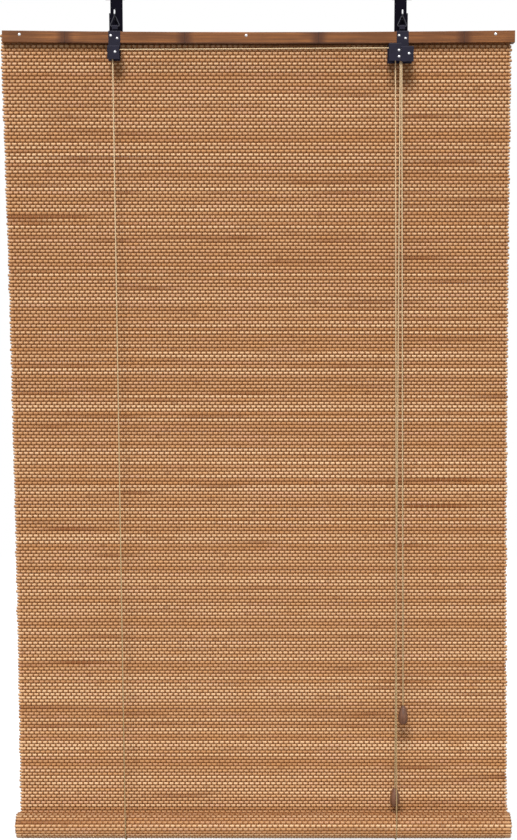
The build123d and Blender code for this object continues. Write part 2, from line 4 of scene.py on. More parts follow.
import bpy
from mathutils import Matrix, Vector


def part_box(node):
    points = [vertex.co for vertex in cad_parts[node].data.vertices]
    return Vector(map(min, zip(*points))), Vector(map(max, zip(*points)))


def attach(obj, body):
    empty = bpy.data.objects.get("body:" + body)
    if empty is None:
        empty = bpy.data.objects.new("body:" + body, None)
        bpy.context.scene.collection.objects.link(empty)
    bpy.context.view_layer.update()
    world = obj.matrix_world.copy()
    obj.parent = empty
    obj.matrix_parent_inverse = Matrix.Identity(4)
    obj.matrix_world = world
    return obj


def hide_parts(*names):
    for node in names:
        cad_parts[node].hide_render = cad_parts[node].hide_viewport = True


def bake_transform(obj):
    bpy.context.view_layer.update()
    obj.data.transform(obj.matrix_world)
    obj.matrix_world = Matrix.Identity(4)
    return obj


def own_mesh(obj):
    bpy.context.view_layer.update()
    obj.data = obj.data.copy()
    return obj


bl_info = {
    "name": "Bamboo Roll-Up Blind",
    "version": (1, 0, 0),
    "blender": (4, 5, 0),
    "location": "3D View > Sidebar > Blind",
    "description": "Dresses the blind's fixed frame with slats, threads, cords and finishes",
    "category": "Object",
}

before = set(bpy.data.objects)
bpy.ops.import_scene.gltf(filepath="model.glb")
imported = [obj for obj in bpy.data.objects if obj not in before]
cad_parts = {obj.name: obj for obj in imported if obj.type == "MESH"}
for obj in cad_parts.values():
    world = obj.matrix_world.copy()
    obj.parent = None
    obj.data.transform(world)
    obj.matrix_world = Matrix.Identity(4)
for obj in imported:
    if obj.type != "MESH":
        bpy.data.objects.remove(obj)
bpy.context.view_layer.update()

# Places of the frame, in metres
MAT_TOP = -0.0880
# Height under which the hook's wire is painted dark as shade
HOOK_SHADE_LINE = -0.0490
LEAN_TOP = -0.1080
ROLL_Y = -0.0330
ROLL_Z = -1.6810
ROLL_X = 0.0100
MAT_PLANE = -0.0220
ROLL_RADIUS = 0.0260
MAT_BACK = 0.0153
MAT_THICKNESS = 0.0026
MAT_SHIFT = -0.0045
MAT_WIDTH = 1.001
ROLL_WIDTH = 1.012
ROLL_TURNS = 5.0
TURN_STEPS = 72
TURN_RISE = 0.00295
ROLL_THREAD_LIFT = 0.00122
THREAD_PAIRS = 90
LOOP_REACH = 0.0276
CORD_FRONT = -0.0606
CORD_BACK = -0.0025
FLOOR_LEVEL = -2.3
BATTEN_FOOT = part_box("front_batten")[0][2]
KNUCKLES = (-0.378, -0.144, 0.117, 0.401)


def colour(red, green, blue):
    """Linear colour of one written in 0 to 255 steps."""
    steps = [v / 255 for v in (red, green, blue)]
    return tuple(v / 12.92 if v <= 0.04045 else ((v + 0.055) / 1.055) ** 2.4 for v in steps) + (1.0,)


def paint(name, text, default):
    return bpy.props.FloatVectorProperty(
        name=name, description=text, subtype="COLOR", size=4, min=0.0, max=1.0, default=default)


def length(name, text, default):
    return bpy.props.FloatProperty(
        name=name, description=text, default=default, min=0.0, unit="LENGTH", precision=5)


class BlindWeave(bpy.types.PropertyGroup):
    slat_pitch: length("Slat pitch", "From one slat to the next", 0.00674)
    slat_height: length("Slat height", "Height of one slat", 0.0069)
    slat_thickness: length("Slat thickness", "Front to back of one slat", 0.0026)
    slat_jut: bpy.props.FloatProperty(
        name="Slat jut", description="How unevenly the slats' ends jut out, as a share", default=0.0018)
    waver: length("Waver", "How far a slat wavers from a straight line", 0.0007)
    thread_spacing: length("Thread spacing", "From one warp thread to the next", 0.0055)
    thread_width: length("Thread width", "Across one flat warp thread", 0.0042)
    thread_lift: length("Thread lift", "Thread's middle in front of the mat's middle", 0.0014)
    drift: length("Drift", "How far the mat has drifted sideways at the roll", 0.0155)
    waist: bpy.props.FloatProperty(
        name="Waist", description="Loss of width for each metre below the battens", default=-0.0170)
    flare: bpy.props.FloatProperty(
        name="Flare", description="Width won back for each square metre further down", default=0.0145)
    seed: bpy.props.IntProperty(name="Seed", description="Seed of all the unevenness", default=7)
    slat_light: paint("Light bamboo", "The palest slats", colour(252, 212, 166))
    slat_deep: paint("Deep bamboo", "The darkest slats", colour(196, 142, 94))
    # Painted shade along the slats' edges, strongest on their shaded side
    slat_edge_shade: paint("Painted edge shade", "Along a slat's edges", colour(108, 58, 24))
    slat_joint: paint("Bamboo joint", "Bands across the slats", colour(120, 72, 42))
    thread: paint("Thread", "Warp thread", colour(182, 126, 80))
    # Painted shade on the warp thread where it dives behind a slat
    thread_shade: paint("Thread below", "Warp thread where it dives behind a slat", colour(112, 62, 26))


class BlindFittings(bpy.types.PropertyGroup):
    steel: paint("Steel", "Black coated sheet", colour(23, 21, 36))
    hanger: paint("Hanger", "Black coated strap", colour(10, 8, 18))
    zinc: paint("Zinc", "Nails, rivets and hooks", colour(240, 240, 242))
    wire: paint("Wire", "Drawn wire of the rings", colour(60, 60, 68))
    nylon: paint("Nylon", "Pulley wheels", colour(214, 210, 198))
    batten: paint("Batten", "Stained bamboo", colour(146, 90, 46))
    batten_deep: paint("Batten grain", "Dark grain", colour(86, 48, 20))
    batten_joint: paint("Batten joint", "Bands at the bamboo's joints", colour(78, 40, 16))
    rod: paint("Rod", "Plain wood", colour(190, 150, 108))
    knob: paint("Knob", "Stained wood", colour(126, 80, 52))
    knob_deep: paint("Knob grain", "Dark grain", colour(84, 50, 30))


class BlindCords(bpy.types.PropertyGroup):
    radius: length("Radius", "Half the cord's width", 0.0013)
    lay_length: length("Lay", "Length of one turn of the strands", 0.0085)
    strands: bpy.props.IntProperty(
        name="Strands", description="Strands in the twist", default=3, min=2, max=5)
    pale: paint("Pale cord", "Top of the strands", colour(252, 228, 190))
    # Painted shade between the strands
    deep: paint("Deep cord", "Between the strands", colour(206, 172, 122))
    handled: paint("Handled cord", "Where hands have darkened the cords", colour(148, 120, 70))


class BlindStage(bpy.types.PropertyGroup):
    lens: bpy.props.FloatProperty(name="Lens", description="Camera lens", default=57.7)
    distance: length("Distance", "Camera in front of the wall", 2.714)
    height: bpy.props.FloatProperty(
        name="Height", description="Camera height", default=-0.6026, unit="LENGTH")
    pitch: bpy.props.FloatProperty(
        name="Pitch", description="Camera tilt", default=math.radians(5.17), subtype="ANGLE")
    sky: bpy.props.FloatProperty(name="Sky", description="Strength of the light all round", default=0.32)
    key: bpy.props.FloatProperty(name="Key", description="Strength of the lamp above", default=3.1)
    fill: bpy.props.FloatProperty(name="Fill", description="Strength of the lamp in front", default=0.2)


# Small helpers for node trees
def material(name):
    """New material with its tree emptied but for the shader and the output."""
    made = bpy.data.materials.new(name)
    made.use_nodes = True
    tree = made.node_tree
    shader = next(n for n in tree.nodes if n.type == "BSDF_PRINCIPLED")
    return made, tree, shader


def mapped(tree, scale=(1, 1, 1)):
    """Coordinates of the piece, scaled by axis."""
    where = tree.nodes.new("ShaderNodeTexCoord")
    place = tree.nodes.new("ShaderNodeMapping")
    place.inputs["Scale"].default_value = scale
    tree.links.new(where.outputs["Object"], place.inputs["Vector"])
    return place.outputs["Vector"]


def coordinate(tree, axis):
    """One coordinate of the piece, in metres."""
    where = tree.nodes.new("ShaderNodeTexCoord")
    split = tree.nodes.new("ShaderNodeSeparateXYZ")
    tree.links.new(where.outputs["Object"], split.inputs[0])
    return split.outputs[axis]


def attribute(tree, name):
    """Value that a geometry tree has stored on the piece."""
    node = tree.nodes.new("ShaderNodeAttribute")
    node.attribute_name = name
    return node.outputs["Fac"]


def noise(tree, vector, scale, detail=3.0, roughness=0.5, distortion=0.0):
    node = tree.nodes.new("ShaderNodeTexNoise")
    node.inputs["Scale"].default_value = scale
    node.inputs["Detail"].default_value = detail
    node.inputs["Roughness"].default_value = roughness
    node.inputs["Distortion"].default_value = distortion
    tree.links.new(vector, node.inputs["Vector"])
    return node.outputs["Fac"]


def between(tree, value, low, high, to_low=0.0, to_high=1.0):
    node = tree.nodes.new("ShaderNodeMapRange")
    node.inputs["From Min"].default_value = low
    node.inputs["From Max"].default_value = high
    node.inputs["To Min"].default_value = to_low
    node.inputs["To Max"].default_value = to_high
    tree.links.new(value, node.inputs["Value"])
    return node.outputs["Result"]


def give(tree, target, value):
    """Links a socket to the target, or writes a number or colour on it."""
    if hasattr(value, "node"):
        tree.links.new(value, target)
    else:
        target.default_value = value


def sums(tree, kind, first, second=0.0):
    """One sum of two values, each a socket or a number."""
    node = tree.nodes.new("ShaderNodeMath")
    node.operation = kind
    for socket, value in zip(node.inputs, (first, second)):
        give(tree, socket, value)
    return node.outputs[0]


def blended(tree, share, first, second):
    """Mix of two colours, each a socket or a written colour."""
    node = tree.nodes.new("ShaderNodeMix")
    node.data_type = "RGBA"
    ends = [s for s in node.inputs if s.type == "RGBA"]
    give(tree, next(s for s in node.inputs if s.type == "VALUE"), share)
    for socket, value in zip(ends, (first, second)):
        give(tree, socket, value)
    return next(s for s in node.outputs if s.type == "RGBA")


def tinted(tree, under, over, value, low, high, most=1.0):
    """A colour laid over another, from none where a value is low to most where it is high."""
    return blended(tree, between(tree, value, low, high, 0.0, most), under, over)


def bump(tree, shader, height, strength, distance):
    node = tree.nodes.new("ShaderNodeBump")
    node.inputs["Strength"].default_value = strength
    node.inputs["Distance"].default_value = distance
    tree.links.new(height, node.inputs["Height"])
    tree.links.new(node.outputs["Normal"], shader.inputs["Normal"])


# Finishes
def coated_steel(name, base, gloss):
    """Satin black coating on sheet steel, with a faint mottle and worn highlights."""
    made, tree, shader = material(name)
    fine = noise(tree, mapped(tree), 900.0, 4.0, 0.6)
    broad = noise(tree, mapped(tree), 60.0, 3.0)
    pale = tuple(min(1.0, v * 1.5) for v in base[:3]) + (1.0,)
    give(tree, shader.inputs["Base Color"], tinted(tree, base, pale, broad, 0.35, 0.75))
    give(tree, shader.inputs["Roughness"], between(tree, fine, 0.3, 0.7, 0.42, 0.58))
    shader.inputs["Specular IOR Level"].default_value = gloss
    bump(tree, shader, fine, 0.25, 0.00008)
    return made


def bright_metal(name, base, rough):
    """Zinc or drawn wire, with fine drawing marks."""
    made, tree, shader = material(name)
    marks = noise(tree, mapped(tree), 1500.0, 3.0, 0.6)
    deep = tuple(v * 0.82 for v in base[:3]) + (1.0,)
    give(tree, shader.inputs["Base Color"], tinted(tree, deep, base, marks, 0.3, 0.7))
    give(tree, shader.inputs["Roughness"], between(tree, marks, 0.2, 0.8, rough, rough + 0.15))
    shader.inputs["Metallic"].default_value = 0.7
    bump(tree, shader, marks, 0.15, 0.00005)
    return made


def hook_metal(base):
    """Bright wire, with painted shade below the tip, where the ring and the strap shade it."""
    made = bright_metal("hook_metal", base, 0.22)
    tree = made.node_tree
    shader = next(n for n in tree.nodes if n.type == "BSDF_PRINCIPLED")
    plated = shader.inputs["Base Color"].links[0].from_socket
    # Painted shade: the wire turns dark grey below a height just under the tip.
    shaded_wire = tinted(tree, plated, colour(44, 43, 50), coordinate(tree, "Z"), HOOK_SHADE_LINE, HOOK_SHADE_LINE - 0.002)
    give(tree, shader.inputs["Base Color"], shaded_wire)
    return made


def nylon(base):
    made, tree, shader = material("nylon")
    cloud = noise(tree, mapped(tree), 250.0)
    grey = tuple(v * 0.85 for v in base[:3]) + (1.0,)
    give(tree, shader.inputs["Base Color"], blended(tree, cloud, base, grey))
    give(tree, shader.inputs["Roughness"], between(tree, cloud, 0.3, 0.7, 0.38, 0.52))
    shader.inputs["Subsurface Weight"].default_value = 0.05
    bump(tree, shader, cloud, 0.1, 0.0001)
    return made


def batten_bamboo(look):
    """Split bamboo along X, with fibres, joints with their bands, a thin satin lacquer and painted shade
    along its lower edge.
    """
    made, tree, shader = material("batten_bamboo")
    fibre = noise(tree, mapped(tree, (3, 260, 260)), 5.0, 6.0, 0.65)
    streak = noise(tree, mapped(tree, (1.6, 70, 70)), 4.0, 3.0, 0.5)
    patch = noise(tree, mapped(tree, (6, 12, 12)), 2.0, 2.0)
    wood = tinted(tree, look.batten_deep, look.batten, fibre, 0.32, 0.7)
    wood = tinted(tree, wood, colour(172, 110, 58), streak, 0.45, 0.7, 0.7)
    wood = tinted(tree, wood, look.batten_deep, patch, 0.42, 0.7, 0.6)
    across = coordinate(tree, "X")
    joint = None
    scar = None
    for place in KNUCKLES:
        away = sums(tree, "ABSOLUTE", sums(tree, "SUBTRACT", across, place))
        band = between(tree, away, 0.019, 0.006)
        line = between(tree, away, 0.0016, 0.0006)
        joint = band if joint is None else sums(tree, "MAXIMUM", joint, band)
        scar = line if scar is None else sums(tree, "MAXIMUM", scar, line)
    wood = blended(tree, sums(tree, "MULTIPLY", joint, 0.85), wood, look.batten_joint)
    wood = blended(tree, sums(tree, "MULTIPLY", scar, 0.6), wood, colour(54, 28, 10))
    # Painted shade: the lowest few millimetres of the battens darkened nearly to black-brown, as the shade
    # line under them.
    height = coordinate(tree, "Z")
    wood = tinted(
        tree, wood, colour(58, 32, 16), height, BATTEN_FOOT + 0.0045, BATTEN_FOOT + 0.001, 0.85)
    give(tree, shader.inputs["Base Color"], wood)
    give(tree, shader.inputs["Roughness"], between(tree, fibre, 0.2, 0.8, 0.36, 0.55))
    shader.inputs["Specular IOR Level"].default_value = 0.25
    shader.inputs["Coat Weight"].default_value = 0.04
    shader.inputs["Coat Roughness"].default_value = 0.35
    bump(tree, shader, sums(tree, "SUBTRACT", fibre, scar), 0.5, 0.0003)
    return made


def slat_bamboo(look):
    """Thin slats: each has its own tone, joints and fibres along X, and painted shade along its edges."""
    made, tree, shader = material("slat_bamboo")
    own = attribute(tree, "slat_tone")
    rim = attribute(tree, "slat_shade_rim")
    shift = sums(tree, "MULTIPLY", own, 37.0)
    run = sums(tree, "ADD", attribute(tree, "slat_run"), shift)
    where = tree.nodes.new("ShaderNodeCombineXYZ")
    give(tree, where.inputs["X"], run)
    give(tree, where.inputs["Y"], shift)
    stain = noise(tree, where.outputs[0], 7.0, 4.0, 0.6)
    fibre = noise(tree, mapped(tree, (12, 900, 900)), 1.6, 4.0, 0.6)
    mixed = sums(tree, "ADD", sums(tree, "MULTIPLY", own, 0.62), sums(tree, "MULTIPLY", stain, 0.55))
    wood = tinted(tree, look.slat_light, look.slat_deep, mixed, 0.12, 0.95)
    wood = tinted(tree, wood, look.slat_deep, fibre, 0.45, 0.75, 0.35)
    hue = noise(tree, where.outputs[0], 13.0, 2.0)
    band = noise(tree, mapped(tree, (1.3, 1.3, 48.0)), 1.0, 2.0)
    wood = tinted(tree, wood, look.slat_deep, band, 0.48, 0.7, 0.6)
    wood = tinted(tree, wood, colour(212, 154, 98), hue, 0.52, 0.72, 0.55)
    wood = tinted(tree, wood, colour(222, 170, 136), hue, 0.46, 0.3, 0.5)
    # Painted shade: darker stretches along some slats, standing in for the shade of gaps that open between
    # rows.
    dark = noise(tree, where.outputs[0], 2.1, 3.0, 0.6)
    wood = tinted(tree, wood, colour(134, 76, 36), dark, 0.58, 0.7, 0.8)
    turn = sums(tree, "FRACT", sums(tree, "MULTIPLY", run, 1.3))
    away = sums(tree, "ABSOLUTE", sums(tree, "SUBTRACT", turn, 0.5))
    wood = tinted(tree, wood, look.slat_joint, away, 0.008, 0.002, 0.4)
    # Painted shade: the slats' edges darkened, most along the shaded side and half as much along the other,
    # as the shade between neighbouring slats.
    wood = tinted(tree, wood, look.slat_edge_shade, rim, -0.35, 0.85, 0.95)
    wood = tinted(tree, wood, look.slat_edge_shade, rim, -0.6, -1.0, 0.5)
    give(tree, shader.inputs["Base Color"], wood)
    give(tree, shader.inputs["Roughness"], between(tree, fibre, 0.2, 0.8, 0.5, 0.68))
    shader.inputs["Specular IOR Level"].default_value = 0.14
    bump(tree, shader, fibre, 0.35, 0.0001)
    return made


def warp_thread(look):
    made, tree, shader = material("warp_thread")
    fluff = noise(tree, mapped(tree), 700.0, 3.0)
    deep = tuple(v * 0.6 for v in look.thread[:3]) + (1.0,)
    # Painted shade: the thread darkened toward the lower point of each crossing, where it dives behind the
    # next slat.
    yarn = tinted(tree, look.thread, look.thread_shade, attribute(tree, "thread_shade_fall"), 0.0, 1.1)
    yarn = tinted(tree, yarn, deep, fluff, 0.35, 0.75, 0.35)
    give(tree, shader.inputs["Base Color"], yarn)
    give(tree, shader.inputs["Roughness"], between(tree, fluff, 0.2, 0.8, 0.75, 0.95))
    shader.inputs["Specular IOR Level"].default_value = 0.08
    return made


def plain_wood(name, pale, deep, along):
    """Turned wood with its grain along one axis, and a thin stain."""
    made, tree, shader = material(name)
    grain = noise(tree, mapped(tree, along), 3.0, 6.0, 0.65, 0.4)
    broad = noise(tree, mapped(tree, tuple(v * 0.25 for v in along)), 2.5, 3.0)
    wood = tinted(tree, deep, pale, grain, 0.35, 0.68)
    wood = tinted(tree, wood, deep, broad, 0.4, 0.75, 0.5)
    give(tree, shader.inputs["Base Color"], wood)
    give(tree, shader.inputs["Roughness"], between(tree, grain, 0.2, 0.8, 0.34, 0.5))
    shader.inputs["Coat Weight"].default_value = 0.25
    shader.inputs["Coat Roughness"].default_value = 0.3
    bump(tree, shader, grain, 0.3, 0.0002)
    return made


def twisted_fibre(look):
    """Beige cord: pale on the strands' crowns, with painted shade between them."""
    made, tree, shader = material("twisted_fibre")
    fluff = noise(tree, mapped(tree), 1100.0, 4.0, 0.7)
    wear = noise(tree, mapped(tree), 18.0, 2.0)
    # Painted shade: the cord darkened between the strands and pale on their crowns.
    yarn = tinted(tree, look.deep, look.pale, attribute(tree, "strand_crown"), 0.15, 0.85)
    yarn = tinted(tree, yarn, look.deep, fluff, 0.5, 0.8, 0.4)
    yarn = tinted(tree, yarn, colour(176, 140, 92), wear, 0.5, 0.85, 0.3)
    yarn = tinted(tree, yarn, look.handled, coordinate(tree, "Z"), -0.3, -1.5, 0.75)
    give(tree, shader.inputs["Base Color"], yarn)
    give(tree, shader.inputs["Roughness"], between(tree, fluff, 0.2, 0.8, 0.7, 0.92))
    shader.inputs["Sheen Weight"].default_value = 0.2
    shader.inputs["Specular IOR Level"].default_value = 0.25
    bump(tree, shader, fluff, 0.4, 0.0001)
    return made


def dress(node, finish):
    """Gives a node of the frame its finish."""
    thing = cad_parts[node]
    thing.data.materials.clear()
    thing.data.materials.append(finish)


# Geometry trees
class Tree:
    """A geometry tree with named inputs and short calls for its nodes."""

    def __init__(self, name, inputs):
        self.tree = bpy.data.node_groups.new(name, "GeometryNodeTree")
        face = self.tree.interface
        face.new_socket("Geometry", in_out="INPUT", socket_type="NodeSocketGeometry")
        self.keys = {}
        for label, kind, value in inputs:
            socket = face.new_socket(label, in_out="INPUT", socket_type=kind)
            self.keys[label] = socket.identifier
            if value is not None:
                socket.default_value = value
        face.new_socket("Geometry", in_out="OUTPUT", socket_type="NodeSocketGeometry")
        self.start = self.tree.nodes.new("NodeGroupInput")
        self.end = self.tree.nodes.new("NodeGroupOutput")

    def given(self, label="Geometry"):
        return self.start.outputs[label]

    def put(self, socket, value):
        if value is not None:
            give(self.tree, socket, value)

    def node(self, kind, ins=None, **settings):
        made = self.tree.nodes.new(kind)
        for key, value in settings.items():
            setattr(made, key, value)
        for key, value in (ins or {}).items():
            if isinstance(key, str):
                socket = next(s for s in made.inputs if s.name == key and s.enabled)
            else:
                socket = made.inputs[key]
            self.put(socket, value)
        return made

    def maths(self, kind, first, second=None, third=None):
        made = self.tree.nodes.new("ShaderNodeMath")
        made.operation = kind
        for socket, value in zip(made.inputs, (first, second, third)):
            self.put(socket, value)
        return made.outputs[0]

    def vector(self, x, y, z):
        made = self.tree.nodes.new("ShaderNodeCombineXYZ")
        for socket, value in zip(made.inputs, (x, y, z)):
            self.put(socket, value)
        return made.outputs[0]

    def vectors(self, kind, first, second=None, scale=None):
        made = self.tree.nodes.new("ShaderNodeVectorMath")
        made.operation = kind
        self.put(made.inputs[0], first)
        self.put(made.inputs[1], second)
        if scale is not None:
            self.put(made.inputs["Scale"], scale)
        return made.outputs[0]

    def place(self):
        return self.node("GeometryNodeInputPosition").outputs[0]

    def number(self):
        return self.node("GeometryNodeInputIndex").outputs[0]

    def store(self, geometry, name, value, domain="POINT"):
        """Keeps a value on the geometry under a name that a material can read."""
        made = self.node(
            "GeometryNodeStoreNamedAttribute", {"Geometry": geometry, "Name": name},
            data_type="FLOAT", domain=domain)
        self.put(next(s for s in made.inputs if s.name == "Value" and s.enabled), value)
        return made.outputs[0]

    def random(self, shift, low, high):
        """A number for each item between two bounds, from the seed moved on by a shift."""
        seed = self.maths("ADD", self.given("Seed"), shift)
        made = self.node(
            "FunctionNodeRandomValue", {"ID": self.number(), "Seed": seed}, data_type="FLOAT")
        made.inputs[2].default_value = low
        made.inputs[3].default_value = high
        return made.outputs[1]

    def trimmed(self, margin):
        """The given path with a margin cut off at both ends."""
        run = self.node("GeometryNodeCurveLength", {0: self.given()}).outputs[0]
        made = self.node("GeometryNodeTrimCurve", mode="LENGTH")
        ends = {"Start_001": margin, "End_001": self.maths("SUBTRACT", run, margin)}
        for socket in made.inputs:
            if socket.name == "Curve":
                self.put(socket, self.given())
            elif socket.identifier in ends:
                self.put(socket, ends[socket.identifier])
        return made.outputs[0]

    def uneven(self, vector, detail, reach, axes):
        """An offset that varies smoothly with a vector, kept to some axes."""
        cloud = self.node("ShaderNodeTexNoise", {"Vector": vector, "Scale": 1.0, "Detail": detail})
        centred = self.vectors("SUBTRACT", cloud.outputs["Color"], (0.5, 0.5, 0.5))
        return self.vectors("MULTIPLY", self.vectors("SCALE", centred, scale=reach), axes)

    def finish(self, geometry):
        """Ends the tree with the given material on its geometry."""
        done = self.node("GeometryNodeSetMaterial", {
            "Geometry": geometry, "Material": self.given("Material")})
        self.tree.links.new(done.outputs[0], self.end.inputs[0])


FLOAT = "NodeSocketFloat"
WHOLE = "NodeSocketInt"
FINISH = "NodeSocketMaterial"
DRIFT_INPUTS = [
    ("Drift Slope", FLOAT, 0.0),
    ("Drift Top", FLOAT, 0.0),
    ("Shift", FLOAT, 0.0),
    ("Waist", FLOAT, 0.0),
    ("Flare", FLOAT, 0.0),
    ("Material", FINISH, None),
]


def drifted(g, extra):
    """Position offset that follows the mat's sideways drift, with a further offset added."""
    parts = g.node("ShaderNodeSeparateXYZ", {0: g.place()})
    fallen = g.maths("MAXIMUM", g.maths("SUBTRACT", g.given("Drift Top"), parts.outputs["Z"]), 0.0)
    aside = g.maths("MULTIPLY_ADD", fallen, g.given("Drift Slope"), g.given("Shift"))
    wider = g.maths("MULTIPLY_ADD", fallen, g.given("Flare"), g.given("Waist"))
    wider = g.maths("MULTIPLY", wider, fallen)
    aside = g.maths("MULTIPLY_ADD", parts.outputs["X"], wider, aside)
    return g.vectors("ADD", g.vector(aside, 0.0, 0.0), extra)


def slat_tree():
    """Slats across a path that runs down or round in the plane of Y and Z."""
    g = Tree("Woven Slats", [
        ("Rows", WHOLE, 10),
        ("Pitch", FLOAT, 0.00674),
        ("Width", FLOAT, 1.0),
        ("Height", FLOAT, 0.0056),
        ("Thickness", FLOAT, 0.0019),
        ("Jut", FLOAT, 0.005),
        ("Waver", FLOAT, 0.0009),
        ("Segments", WHOLE, 18),
        ("End Taper", FLOAT, 0.4),
        ("Shaded Side", FLOAT, -1.0),
        ("Seed", WHOLE, 1),
    ] + DRIFT_INPUTS)
    path = g.trimmed(g.maths("MULTIPLY", g.given("Pitch"), 0.5))
    points = g.node("GeometryNodeCurveToPoints", {"Curve": path, "Count": g.given("Rows")}, mode="COUNT")
    turned = g.node(
        "FunctionNodeAlignRotationToVector", {"Vector": points.outputs["Tangent"]},
        axis="Z", pivot_axis="X")
    bar = g.node(
        "GeometryNodeMeshCylinder",
        {"Vertices": 8, "Side Segments": g.given("Segments"), "Radius": 1.0, "Depth": g.given("Width")},
        fill_type="NGON",
    )
    spot = g.node("ShaderNodeSeparateXYZ", {0: g.place()})
    share = g.maths("DIVIDE", spot.outputs["Z"], g.given("Width"))
    far = g.maths("ABSOLUTE", share)
    last = g.maths("GREATER_THAN", far, 0.495)
    inner = g.maths("SUBTRACT", 1.0, last)
    next_in = g.maths("MULTIPLY", g.maths("GREATER_THAN", far, 0.44), inner)
    outward = g.maths("MULTIPLY", g.maths("SIGN", share), g.maths("SUBTRACT", 0.4965, far))
    slide = g.maths("MULTIPLY", g.maths("MULTIPLY", outward, next_in), g.given("Width"))
    left = g.maths("SUBTRACT", 1.0, g.maths("MULTIPLY", last, g.given("End Taper")))
    lens = g.maths("MULTIPLY", spot.outputs["Y"], g.maths("ABSOLUTE", spot.outputs["Y"]))
    shaped = g.vector(
        g.maths("MULTIPLY", spot.outputs["X"], left),
        g.maths("MULTIPLY", lens, left),
        g.maths("ADD", spot.outputs["Z"], slide))
    # Signed place across the slat, positive toward its shaded side, which the material reads for the
    # painted edge shade.
    shaded = g.maths("MULTIPLY", spot.outputs["X"], g.given("Shaded Side"))
    rimmed = g.store(bar.outputs["Mesh"], "slat_shade_rim", shaded)
    ended = g.node("GeometryNodeSetPosition", {"Geometry": rimmed, "Position": shaped})
    laid = g.node("GeometryNodeTransform", {
        "Geometry": ended.outputs[0], "Rotation": (0.0, math.pi / 2, 0.0)})
    section = g.vector(1.0, *(
        g.maths("MULTIPLY", g.given(label), 0.5) for label in ("Thickness", "Height")))
    slim = g.node("GeometryNodeTransform", {"Geometry": laid.outputs[0], "Scale": section})
    taller = g.random(11, 0.96, 1.05)
    longer = g.maths("MULTIPLY_ADD", g.random(0, -1.0, 1.0), g.given("Jut"), 1.0)
    rows = g.node("GeometryNodeInstanceOnPoints", {
        "Points": points.outputs["Points"],
        "Instance": slim.outputs[0],
        "Rotation": turned.outputs[0],
        "Scale": g.vector(longer, taller, taller),
    })
    aside = g.maths("MULTIPLY", g.random(23, -0.5, 0.5), g.given("Jut"))
    moved = g.node("GeometryNodeTranslateInstances", {
        "Instances": rows.outputs[0],
        "Translation": g.vector(aside, 0.0, 0.0),
        "Local Space": False,
    })
    toned = g.store(moved.outputs[0], "slat_tone", g.random(37, 0.0, 1.0), "INSTANCE")
    real = g.node("GeometryNodeRealizeInstances", {"Geometry": toned})
    across = g.node("ShaderNodeSeparateXYZ", {0: g.place()}).outputs["X"]
    kept = g.store(real.outputs[0], "slat_run", across)
    read = g.node("GeometryNodeInputNamedAttribute", {"Name": "slat_tone"}, data_type="FLOAT")
    own = next(s for s in read.outputs if s.name == "Attribute" and s.enabled)
    spots = g.vector(g.maths("MULTIPLY", across, 5.0), g.maths("MULTIPLY", own, 90.0), 0.0)
    bend = g.uneven(spots, 2.0, g.given("Waver"), (0.0, 0.35, 1.0))
    bent = g.node("GeometryNodeSetPosition", {"Geometry": kept, "Offset": drifted(g, bend)})
    smooth = g.node("GeometryNodeSetShadeSmooth", {"Geometry": bent.outputs[0]})
    g.finish(smooth.outputs[0])
    return g


